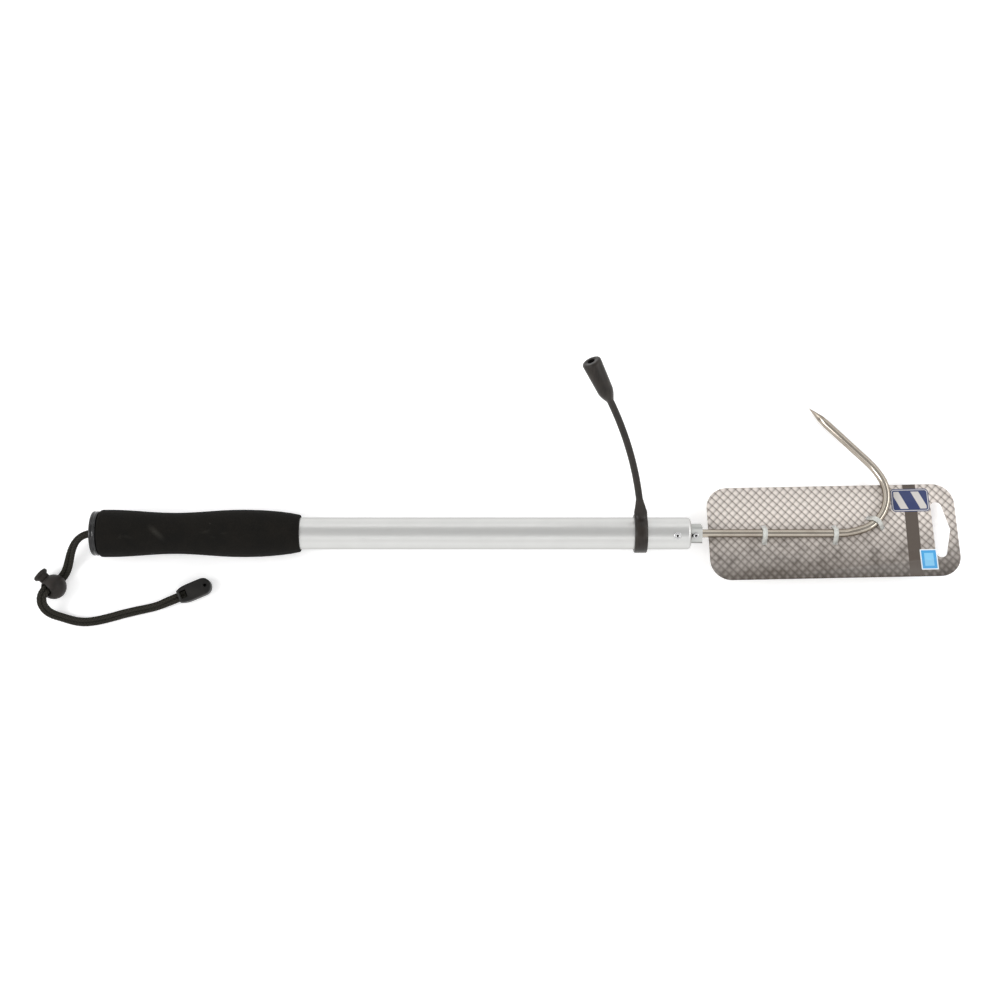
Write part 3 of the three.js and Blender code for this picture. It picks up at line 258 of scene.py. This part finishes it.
def braid_material():
    """A fine plait, from UVs that go once round the cord and along it in metres."""
    net = Net("lanyard_braid", Roughness=0.85, Specular_IOR_Level=0.15)
    around, along = net.plan("run")
    around = net.math("MULTIPLY", around, BUNDLES)
    along = net.math("MULTIPLY", along, STITCHES)
    lift = net.math("ADD", along, around)
    fall = net.math("SUBTRACT", along, around)
    turns = [net.math("MULTIPLY", net.math("FRACT", way), math.pi) for way in (lift, fall)]
    ridges = [net.math("SINE", turn) for turn in turns]
    cell = net.math("ADD", net.math("FLOOR", lift), net.math("FLOOR", fall))
    height = net.add("Mix", _0=net.math("PINGPONG", cell, 1.0), _2=ridges[0], _3=ridges[1])
    height = net.math("MULTIPLY_ADD", net.noise(2500, 3), 0.35, height)
    # The colour follows the relief: the bundles' crests paler and the hollows between them darker, as painted
    # shade
    net.surface(Base_Color=net.mix(net.band(height, 0.1, 1.2), colour(12, 12, 10), colour(52, 50, 44)))
    net.bump(height, 0.00025, 0.8)
    return net.material


def tie_material():
    """Milky nylon."""
    net = Net("tie_nylon", Transmission_Weight=0.12, Roughness=0.35)
    cloud = net.noise(300, 3)
    net.surface(Base_Color=net.mix(net.band(cloud, 0.3, 0.7), colour(226, 227, 222), colour(208, 209, 203)))
    net.bump(cloud, 0.0001, 0.4)
    return net.material


def rubber_material():
    """Moulded rubber: satin, with a fine grain and faint dust."""
    net = Net("guard_rubber", Specular_IOR_Level=0.32)
    grain = net.noise(2200, 3)
    dust = net.noise(120, 5)
    flow = net.noise(1, 4, 0.7, net.stretched(1300, 110, 110))
    base = net.mix(net.band(dust, 0.4, 0.75), colour(24, 20, 17), colour(42, 36, 31))
    net.surface(Base_Color=net.mix(net.band(flow, 0.35, 0.7, 0, 0.55), base, colour(54, 48, 42)))
    net.surface(Roughness=net.band(grain, 0.3, 0.7, 0.3, 0.42))
    net.bump(grain, 0.00006, 0.7)
    return net.material


# The card's print, in metres along and up from the card's middle. The patch and the label are rounded rectangles,
# each with its middle, half its sizes and its corners' radius.
SCALE_LENGTH = 0.0061
SCALE_HEIGHT = 0.0064
BAND_MIDDLE = 0.0602
BAND_HALF = 0.0049
BAND_LEAN = -0.02
PATCH = ((0.0607, 0.0238), (0.0144, 0.0092), 0.003)
LABEL = ((0.07, -0.0235), (0.0064, 0.008), 0.0006)
INK_EDGE = 0.00012  # half the width over which one ink turns into the next


def card_material():
    """A printed card: scales that darken downwards, a dark band, a patch with plain bars and a blank label."""
    net = Net("card_print", Coat_Weight=0.15, Coat_Roughness=0.25)
    u, v = net.plan("plan")
    across, down = net.math("MULTIPLY", u, 1 / SCALE_LENGTH), net.math("MULTIPLY", v, 1 / SCALE_HEIGHT)
    wave = net.noise(60, 2)
    # Two crossing families of scale edges: each value climbs from 0 just past an edge to 1 at the next
    fall, rise = (
        net.math("FRACT", net.math("MULTIPLY_ADD", wave, 0.22, net.math(operation, across, down)))
        for operation in ("ADD", "SUBTRACT")
    )
    # How near each family's next edge is: 0 midway between two edges, 1 on one
    near_fall, near_rise = (
        net.math("MULTIPLY", net.math("ABSOLUTE", net.math("SUBTRACT", value, 0.5)), 2.0)
        for value in (fall, rise)
    )
    fade = net.math("MULTIPLY_ADD", net.noise(38, 3), 0.014, v)
    paper = net.mix(net.band(fade, -0.03, 0.018), colour(70, 61, 52), colour(226, 217, 209))
    blotch = net.math("MULTIPLY", net.band(net.noise(110, 1), 0.5, 0.66), net.band(v, 0.004, -0.018))
    paper = net.mix(net.math("MULTIPLY", blotch, 0.55), paper, colour(84, 75, 66))
    tint = {"data_type": "RGBA", "blend_type": "MULTIPLY"}
    shade = net.add("Mix", output=2, settings=tint, _0=1.0, _6=paper, _7=colour(152, 148, 145))
    ink = net.band(v, -0.036, 0.0, 0.45, 1)
    soft = net.math("MULTIPLY", net.band(fall, 0.4, 1), 0.35)
    soft = net.math("MULTIPLY_ADD", net.band(rise, 0.5, 1), 0.5, soft)
    paper = net.mix(net.math("MULTIPLY", soft, ink), paper, shade)
    paper = net.mix(net.math("MULTIPLY", net.band(near_rise, 0.7, 1, 0, 0.5), ink), paper, shade)
    paper = net.mix(net.math("MULTIPLY", net.band(near_fall, 0.66, 1, 0, 0.95), ink), paper, shade)
    node = net.math("MULTIPLY", net.band(near_rise, 0.6, 1), net.band(near_fall, 0.6, 1))
    node = net.math("MULTIPLY", node, net.band(v, -0.036, 0.0, 0.3, 0.8))
    paper = net.mix(node, paper, colour(92, 83, 75))
    shine = net.math("MULTIPLY", net.band(near_rise, 0.7, 0.2), net.band(near_fall, 0.7, 0.2))
    shine = net.math("MULTIPLY", shine, net.band(v, -0.03, 0.02, 0.1, 0.5))
    paper = net.mix(shine, paper, colour(236, 228, 223))

    def box(middle, half, corner):
        """How far inside a rounded rectangle a place is, in metres."""
        sides = []
        for value, centre, size in zip((u, v), middle, half):
            off = net.math("ABSOLUTE", net.math("SUBTRACT", value, centre))
            sides.append(net.math("SUBTRACT", off, size - corner))
        past = [net.math("MAXIMUM", side, 0.0) for side in sides]
        spread = net.math("SQRT", net.math("ADD", *(net.math("MULTIPLY", side, side) for side in past)))
        inner = net.math("MINIMUM", net.math("MAXIMUM", *sides), 0.0)
        return net.math("SUBTRACT", corner, net.math("ADD", spread, inner))

    lean = net.math("SUBTRACT", net.math("MULTIPLY_ADD", v, BAND_LEAN, u), BAND_MIDDLE)
    stripe = net.math("SUBTRACT", BAND_HALF, net.math("ABSOLUTE", lean))
    paper = net.mix(net.band(stripe, -INK_EDGE, INK_EDGE), paper, colour(80, 70, 62))
    patch = box(*PATCH)
    paper = net.mix(net.band(patch, -INK_EDGE, INK_EDGE), paper, colour(36, 50, 98))
    sweep = net.math("SINE", net.math("MULTIPLY_ADD", u, 420.0, net.math("MULTIPLY", v, 190.0)))
    pale = net.math("MULTIPLY", net.band(sweep, 0.25, 0.4), net.band(patch, 0.0022, 0.0024))
    paper = net.mix(pale, paper, colour(202, 198, 194))
    rim = net.math("MULTIPLY", net.band(patch, 0.0006, 0.0007), net.band(patch, 0.0013, 0.0012))
    paper = net.mix(rim, paper, colour(198, 197, 198))
    label = box(*LABEL)
    paper = net.mix(net.band(label, -INK_EDGE, INK_EDGE), paper, colour(232, 240, 245))
    paper = net.mix(net.band(label, 0.0007, 0.0009), paper, colour(66, 158, 216))
    paper = net.mix(net.band(label, 0.0028, 0.0031), paper, colour(128, 196, 234))
    net.surface(Base_Color=paper, Roughness=net.band(net.noise(400, 3), 0.3, 0.7, 0.42, 0.5))
    net.bump(net.noise(900, 3), 0.00003, 0.5)
    return net.material


SATIN_LINES = (4, 700, 700)
DRAWN_LINES = (12, 900, 900)
TURNED_LINES = (300, 300, 300)
looks = {
    "satin": metal("satin_aluminium", colour(221, 221, 219), colour(214, 214, 212), 0.4, SATIN_LINES, 0.000006),
    "drawn": metal("drawn_aluminium", colour(212, 213, 210), colour(198, 199, 196), 0.5, DRAWN_LINES, 0.00002),
    # The rivets' mandrel holes: the steel stem, painted dark as the hole's shade
    "mandrel": metal("mandrel_steel_painted_shade", colour(70, 68, 66), colour(48, 46, 44), 0.5, TURNED_LINES, 0.00002),
    "rivet": metal("rivet_aluminium", colour(222, 222, 222), colour(196, 196, 196), 0.22, TURNED_LINES, 0.00002),
    "steel": steel_material(),
    "foam": foam_material(),
    "gloss": plastic("gloss_black", colour(20, 20, 20), colour(26, 26, 26), 0.1, 500, 0.00001),
    "nylon": plastic("black_nylon", colour(27, 23, 20), colour(42, 36, 32), 0.5, 1400, 0.00005, 0.3),
    "shell": plastic("cord_end_plastic", colour(20, 19, 17), colour(33, 31, 28), 0.4, 900, 0.00004, 0.3),
    "rubber": rubber_material(),
    # The guard cap's bore: the same rubber painted near black, as painted shade inside it
    "bore": plastic("guard_bore_painted_shade", colour(10, 9, 8), colour(16, 15, 13), 0.9, 2000, 0.00003, 0.1),
    "braid": braid_material(),
    "card": card_material(),
    "tie": tie_material(),
}


# Pieces


def shown(name, mesh):
    made = bpy.data.objects.new(name, mesh)
    scene.collection.objects.link(made)
    return made


def finished(made, look, node, angle=35):
    """Shades a piece, gives it its material, and puts it in a CAD node's place on that node's body."""
    made.data.shade_smooth()
    made.data.set_sharp_from_angle(angle=math.radians(angle))
    made.data.materials.clear()
    made.data.materials.append(looks[look])
    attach(made, frame["nodes"][node]["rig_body"])
    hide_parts(node)
    return made


def smoothed(node):
    """A new piece with a CAD node's form, its facets welded so that they can be shaded as one surface."""
    mesh = frame["nodes"][node].data.copy()
    bm = bmesh.new()
    bm.from_mesh(mesh)
    bmesh.ops.remove_doubles(bm, verts=bm.verts, dist=2e-6)
    bmesh.ops.recalc_face_normals(bm, faces=bm.faces)
    bm.to_mesh(mesh)
    bm.free()
    return shown(node + "_surface", mesh)


def dressed(node, look, angle=35):
    """A CAD node in its own form, shaded and with its material."""
    return finished(smoothed(node), look, node, angle)


SAME_SURFACE = 0.95  # the least cosine between a facet and the exact surface that it stands for


def trued(made, place, normal_of):
    """Gives the corners of some faces exact normals, so that no rim of a hole bends the gloss on them."""
    mesh, to_place, turn = made.data, place.inverted(), place.to_3x3()
    normals = [Vector(corner.vector) for corner in mesh.corner_normals]
    for face in mesh.polygons:
        facing = to_place.to_3x3() @ face.normal
        for i in face.loop_indices:
            exact = normal_of(to_place @ mesh.vertices[mesh.loops[i].vertex_index].co, facing)
            if exact and exact.dot(facing) > SAME_SURFACE:
                normals[i] = turn @ exact
    mesh.normals_split_custom_set(normals)


def round_bar(radius):
    """The exact normals of a round bar along X."""

    def normal_of(at, facing):
        out = Vector((0, at.y, at.z))
        return out.normalized() if abs(out.length - radius) < 0.0001 else None

    return normal_of


def square_bar(at, facing):
    """The exact normals of a square bar's four flat sides along X."""
    flat = abs(facing.x) < 0.02 and max(abs(facing.y), abs(facing.z)) > 0.9995
    return Vector((0, round(facing.y), round(facing.z))) if flat else None


def swept(name, path, radius, sides, relief=None, place=TUBE, starts=None):
    """A round bar along a path. Its UVs go once round it, from the starts given, and along it in metres."""
    side = Vector((0, 0, 1))
    verts, along = [], [0]
    for i, point in enumerate(path):
        ahead = (path[min(i + 1, len(path) - 1)] - path[max(i - 1, 0)]).normalized()
        side = starts[i] if starts else side
        side = (side - ahead * side.dot(ahead)).normalized()
        other = ahead.cross(side)
        if i:
            along.append(along[-1] + (point - path[i - 1]).length)
        for k in range(sides):
            angle = 2 * math.pi * k / sides
            out = radius + (relief(along[i], k / sides) if relief else 0)
            verts.append(point + (side * math.cos(angle) + other * math.sin(angle)) * out)
    faces, runs = [], []
    for r in range(len(path) - 1):
        for i in range(sides):
            j = (i + 1) % sides
            faces.append((r * sides + i, r * sides + j, (r + 1) * sides + j, (r + 1) * sides + i))
            low, high = along[r], along[r + 1]
            runs += [(i / sides, low), ((i + 1) / sides, low), ((i + 1) / sides, high), (i / sides, high)]
    last = len(verts) - sides
    faces += [tuple(range(sides))[::-1], tuple(range(last, len(verts)))]
    runs += [(0, 0)] * sides + [(0, along[-1])] * sides
    mesh = bpy.data.meshes.new(name)
    mesh.from_pydata([place @ point for point in verts], [], faces)
    layer = mesh.uv_layers.new(name="run").data
    for loop, run in zip(layer, runs):
        loop.uv = run
    return shown(name, mesh)


def spline_at(points, share):
    """A place on the centripetal Catmull-Rom curve through the points."""
    last = len(points) - 1
    run = last * share
    i = min(int(run), last - 1)
    t = run - i
    b, c = points[i], points[i + 1]
    a = points[i - 1] if i else b * 2 - c
    d = points[i + 2] if i + 2 <= last else c * 2 - b
    gaps = [math.sqrt((q - p).length) for p, q in ((a, b), (b, c), (c, d))]
    middle = gaps[1] if gaps[1] > 1e-4 else 1.0
    before, after = (gap if gap > 1e-4 else middle for gap in (gaps[0], gaps[2]))
    start = ((b - a) / before - (c - a) / (before + middle) + (c - b) / middle) * middle
    end = ((c - b) / middle - (d - b) / (middle + after) + (d - c) / after) * middle
    return b + start * t + (c * 3 - b * 3 - start * 2 - end) * t**2 + (b * 2 - c * 2 + start + end) * t**3


def heading_at(points, share):
    ahead = spline_at(points, min(share + 1e-4, 1)) - spline_at(points, max(share - 1e-4, 0))
    return ahead.normalized()


# The wrist lanyard: two strands side by side, through the cord lock, to the cord end. The route's stops are
# (x from the butt, y from the tube's axis, height over the table, twist) in millimetres and degrees.
CORD_DIAMETER = 0.0034
STRAND_SPACING = 0.0038
ROUTE_STEPS = 60
STRAND_STEPS = 360
SMOOTHINGS = 12
LOCK_RADIUS = 0.0094
TO_LOCK = [
    (-4.2, -0.4, 17.7, 42),
    (-8.8, -2, 16.9, 42),
    (-12.8, -4.8, 15.3, 38),
    (-15.9, -8.8, 12.9, 30),
    (-18.2, -13.3, 10, 20),
    (-19.9, -18, 7.2, 10),
    (-21.4, -22.6, 4.7, 2),
    (-23.3, -27, 2.9, -4),
    (-25.9, -31, 2.6, -8),
]
TO_END = [
    (-35, -43.9, 16.6, -8),
    (-36.1, -46.7, 17.3, -10),
    (-36.6, -49.6, 16.8, -10),
    (-36.5, -52.5, 14.9, -6),
    (-35.6, -55.2, 11.8, 4),
    (-34, -57.4, 8.4, 16),
    (-31.6, -59, 5.7, 26),
    (-28.5, -60.2, 4, 34),
    (-24.6, -61.3, 3.2, 38),
    (-19.2, -63, 3, 38),
    (-13.2, -64.4, 3, 38),
    (-6.4, -65, 3, 38),
    (3, -63.8, 3, 38),
    (12.4, -61.5, 3, 38),
    (23.6, -58.4, 3, 38),
    (34.9, -55.8, 3.1, 42),
    (46.1, -53.3, 3.4, 46),
    (55.4, -49.6, 3.9, 30),
]


def lanyard_route():
    """The common route's places, with each place's twist, or None in the lock."""

    def stops(rows):
        return [(Vector((x, y, z)) / 1000 + Vector((0, 0, TABLE)), twist) for x, y, z, twist in rows]

    lead = LOCK_RADIUS + CORD_DIAMETER / 2
    heading = math.radians(END_HEADING)
    ahead = Vector((math.cos(heading), math.sin(heading), 0))
    route = [(Vector((0.0048, 0, 0)), 42), (Vector((0, 0, 0)), 42)] + stops(TO_LOCK)
    in_lock = (-0.55, -1 / 3, 1 / 3, 0.55)
    route += [(LOCK_PLACE + CHANNEL_AXIS * lead * share, None) for share in in_lock]
    return route + stops(TO_END) + [(END_MOUTH + ahead * run, 0) for run in (0, 0.006)]


def strand_path(sign):
    """A strand's path, and the direction from strand b to strand a along it."""
    route = lanyard_route()
    line = [place for place, _ in route]
    sides = []
    for i, (_, twist) in enumerate(route):
        along = heading_at(line, i / (len(route) - 1))
        level = Vector((0, 0, 1)).cross(along).normalized()
        twisted = Matrix.Rotation(math.radians(twist or 0), 3, along) @ level
        sides.append(-LOCK_AXIS if twist is None else twisted)
    places, across = [], []
    for i in range(ROUTE_STEPS + 1):
        share = i / ROUTE_STEPS
        along = heading_at(line, share)
        side = spline_at(sides, share)
        across.append((side - along * side.dot(along)).normalized())
        places.append(spline_at(line, share) + across[-1] * sign * STRAND_SPACING / 2)
    shares = [i / STRAND_STEPS for i in range(STRAND_STEPS + 1)]
    path = [spline_at(places, share) for share in shares]
    for _ in range(SMOOTHINGS):
        path[1:-1] = [(a + b * 2 + c) / 4 for a, b, c in zip(path, path[1:], path[2:])]
    return path, [spline_at(across, share) for share in shares]


BUNDLE_PITCH = 0.0024
BUNDLE_HEIGHT = 0.00014
BUNDLE_FOOT = -0.00008
PRESSED_SWELL = 0.00023


def plait(sign):
    """How far the braid's bundles stand out, and how a strand swells where it is pressed on the other."""

    def relief(along, around):
        lift = math.sin(math.pi * (along / BUNDLE_PITCH + BUNDLES * around))
        fall = math.sin(math.pi * (along / BUNDLE_PITCH - BUNDLES * around))
        pressed = max(0, -sign * math.cos(2 * math.pi * around)) ** 3
        bundle = BUNDLE_HEIGHT * abs(lift * fall) + BUNDLE_FOOT
        return bundle * (1 - pressed) + PRESSED_SWELL * pressed

    return relief


lock_pieces = [
    dressed("cord_lock_body", "nylon"),
    dressed("cord_lock_plunger", "nylon"),
    dressed("cord_lock_spring", "steel"),
]
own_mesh(lock_pieces[2])

end_pieces = [
    dressed("cord_end_base", "shell"),
    dressed("cord_end_lid", "shell"),
]


def knot_path(middle, radius, swing, reach, steps=96):
    """A trefoil about X that lies in a bead's space."""
    path = []
    for i in range(steps):
        turn = 4 * math.pi * i / steps
        out = radius + swing * math.cos(1.5 * turn)
        along = middle + reach * math.sin(1.5 * turn)
        path.append(Vector((along, out * math.cos(turn), out * math.sin(turn))))
    return path


def whipping_path(start, length, radius, steps=90):
    """A coil about X, each step of it a fifth of a radian."""
    path = []
    for i in range(steps + 1):
        path.append(Vector((start + length * i / steps, radius * math.cos(i / 5), radius * math.sin(i / 5))))
    return path


butt_knot = swept("lanyard_knot_cord", knot_path(0.0096, 0.0028, 0.0014, 0.0028), 0.0014, 16)
finished(butt_knot, "braid", "lanyard_knot")
end_knot = swept("cord_end_whipping", whipping_path(0.0073, 0.0048, 0.0015), 0.0009, 12, place=END)
finished(end_knot, "braid", "cord_end_knot")

ends = [butt_knot, *end_pieces, end_knot]
for name, sign, with_pieces in (("a", 1, [*lock_pieces, *ends]), ("b", -1, ends)):
    path, starts = strand_path(sign)
    strand = swept(f"lanyard_braid_{name}", path, CORD_DIAMETER / 2, 24, plait(sign), starts=starts)
    finished(strand, "braid", f"lanyard_strand_{name}", angle=60)

# The handle, the extension and the guard
tube = dressed("outer_tube", "satin")
trued(tube, TUBE, round_bar(TUBE_RADIUS))
dressed("grip", "foam", angle=50)
dressed("butt_cap", "gloss", angle=50)
dressed("guide_bush", "nylon")
tube = dressed("inner_tube", "drawn")
trued(tube, SQUARE, square_bar)
dressed("rear_slider", "nylon")
dressed("slider_pin", "steel")
dressed("hook_plug", "nylon")
hook = dressed("hook", "steel")
trued(hook, HEAD, round_bar(WIRE_RADIUS))
for tie in ("card_tie_1", "card_tie_2", "card_tie_3"):
    dressed(tie, "tie")


def second_look(made, look, mouth, out, radius, depth):
    """Gives a piece's faces in a bore their own material. The bore runs in from its mouth, against out."""
    made.data.materials.append(looks[look])
    for face in made.data.polygons:
        offset = face.center - mouth
        rise = offset.dot(out)
        face.material_index = int((offset - out * rise).length < radius and rise > -depth)


# The guard, with its cap's bore given near-black rubber as painted shade. The bore's mouth is found by going
# along the strap from its root.
STRAP_ROOT = Vector((0.41, 0, 0.01345))
STRAP_LENGTH = 0.1025
STRAP_LEANS = (5, 25)
STRAP_STEPS = 18
GUARD_CAP_LENGTH = 0.0345


def leaning(degrees):
    return Vector((-math.sin(math.radians(degrees)), 0, math.cos(math.radians(degrees))))


guard = dressed("point_guard", "rubber", angle=45)
mouth = STRAP_ROOT + leaning(STRAP_LEANS[1]) * GUARD_CAP_LENGTH
for i in range(STRAP_STEPS):
    share = (i + 0.5) / STRAP_STEPS
    lean = STRAP_LEANS[0] + (STRAP_LEANS[1] - STRAP_LEANS[0]) * share
    mouth += leaning(lean) * STRAP_LENGTH / STRAP_STEPS
bore_axis = GUARD.to_3x3() @ leaning(STRAP_LEANS[1])
second_look(guard, "bore", GUARD @ mouth, bore_axis, radius=0.0028, depth=0.03)

# The broken steel stem of the rivet's mandrel shows in its hole, painted much darker than steel as the hole's
# shade
for name, roll in (("bush_rivet", BUSH_RIVET_ROLL), ("plug_rivet", SQUARE_ROLL)):
    rivet = dressed(name, "rivet")
    low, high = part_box(name)
    place = Vector(((low.x + high.x) / 2, AXIS.y, AXIS.z))
    second_look(rivet, "mandrel", place, turned(roll).to_3x3() @ Vector((0, 0, 1)), radius=0.00092, depth=0)

# The card's UVs are places along and up from its middle, in metres
card = smoothed("display_card")
plan = card.data.uv_layers.new(name="plan").data
to_card = CARD.inverted()
for loop in card.data.loops:
    plan[loop.index].uv = (to_card @ card.data.vertices[loop.vertex_index].co).xy
finished(card, "card", "display_card")

# The table, lit from below like a shooting table, and the light
net = Net("table_white", Specular_IOR_Level=0.1, Emission_Color=(1, 1, 1, 1), Emission_Strength=0.3)
net.surface(Base_Color=net.mix(net.noise(3, 2), colour(250, 250, 250), colour(247, 247, 247)), Roughness=0.9)
net.bump(net.noise(300, 2), 0.0001, 0.2)
TABLE_HALF = 9
mesh = bpy.data.meshes.new("table")
corners = [(TABLE_HALF * x, TABLE_HALF * y, 0) for x, y in ((-1, -1), (1, -1), (1, 1), (-1, 1))]
mesh.from_pydata(corners, [], [(0, 1, 2, 3)])
table = shown("table", mesh)
table.data.materials.append(net.material)
table.visible_glossy = False  # the metal shows the tent's even light instead, as over a lit table

# The studio's tent: its level by the angle in degrees from its top, which lies a little off the zenith. The ramp
# holds levels of up to 1, so they are divided by the strength in it.
TENT_TOP = Vector((0.06, 0.07, 1)).normalized()
TENT_STRENGTH = 2.0
TENT = (
    (0, 0.52),
    (32, 0.56),
    (36, 0.34),
    (39, 0.42),
    (41, 2.0),
    (46, 2.0),
    (49, 0.92),
    (72, 0.96),
    (90, 1.12),
)
world = bpy.data.worlds.new("studio")
scene.world = world
world.use_nodes = True
nodes, links = world.node_tree.nodes, world.node_tree.links
height = nodes.new("ShaderNodeVectorMath")
height.operation = "DOT_PRODUCT"
height.inputs[1].default_value = TENT_TOP
ramp = nodes.new("ShaderNodeValToRGB")
links.new(nodes.new("ShaderNodeTexCoord").outputs["Generated"], height.inputs[0])
links.new(height.outputs["Value"], ramp.inputs[0])
links.new(ramp.outputs[0], nodes["Background"].inputs[0])
while len(ramp.color_ramp.elements) < len(TENT):
    ramp.color_ramp.elements.new(0.5)
for stop, (angle, level) in zip(ramp.color_ramp.elements, reversed(TENT)):
    stop.position = math.cos(math.radians(angle))
    stop.color = (*[level / TENT_STRENGTH] * 3, 1)
nodes["Background"].inputs[1].default_value = TENT_STRENGTH


def softbox(name, place, towards, size, power):
    """A rectangular lamp of a size in metres and a power in watts, turned towards a place."""
    lamp = bpy.data.lights.new(name, "AREA")
    lamp.shape = "RECTANGLE"
    lamp.size, lamp.size_y = size
    lamp.energy = power
    made = bpy.data.objects.new(name, lamp)
    made.location = place
    made.rotation_euler = (Vector(towards) - Vector(place)).to_track_quat("-Z", "Y").to_euler()
    made.visible_camera = False
    scene.collection.objects.link(made)


softbox("softbox_butt", (-1.86, -0.33, 1.54), (-0.3, 0, 0), (0.8, 0.8), 14)
softbox("softbox_point", (1.95, 0.15, 1.5), (0.25, 0, 0), (2.6, 0.32), 10.5)
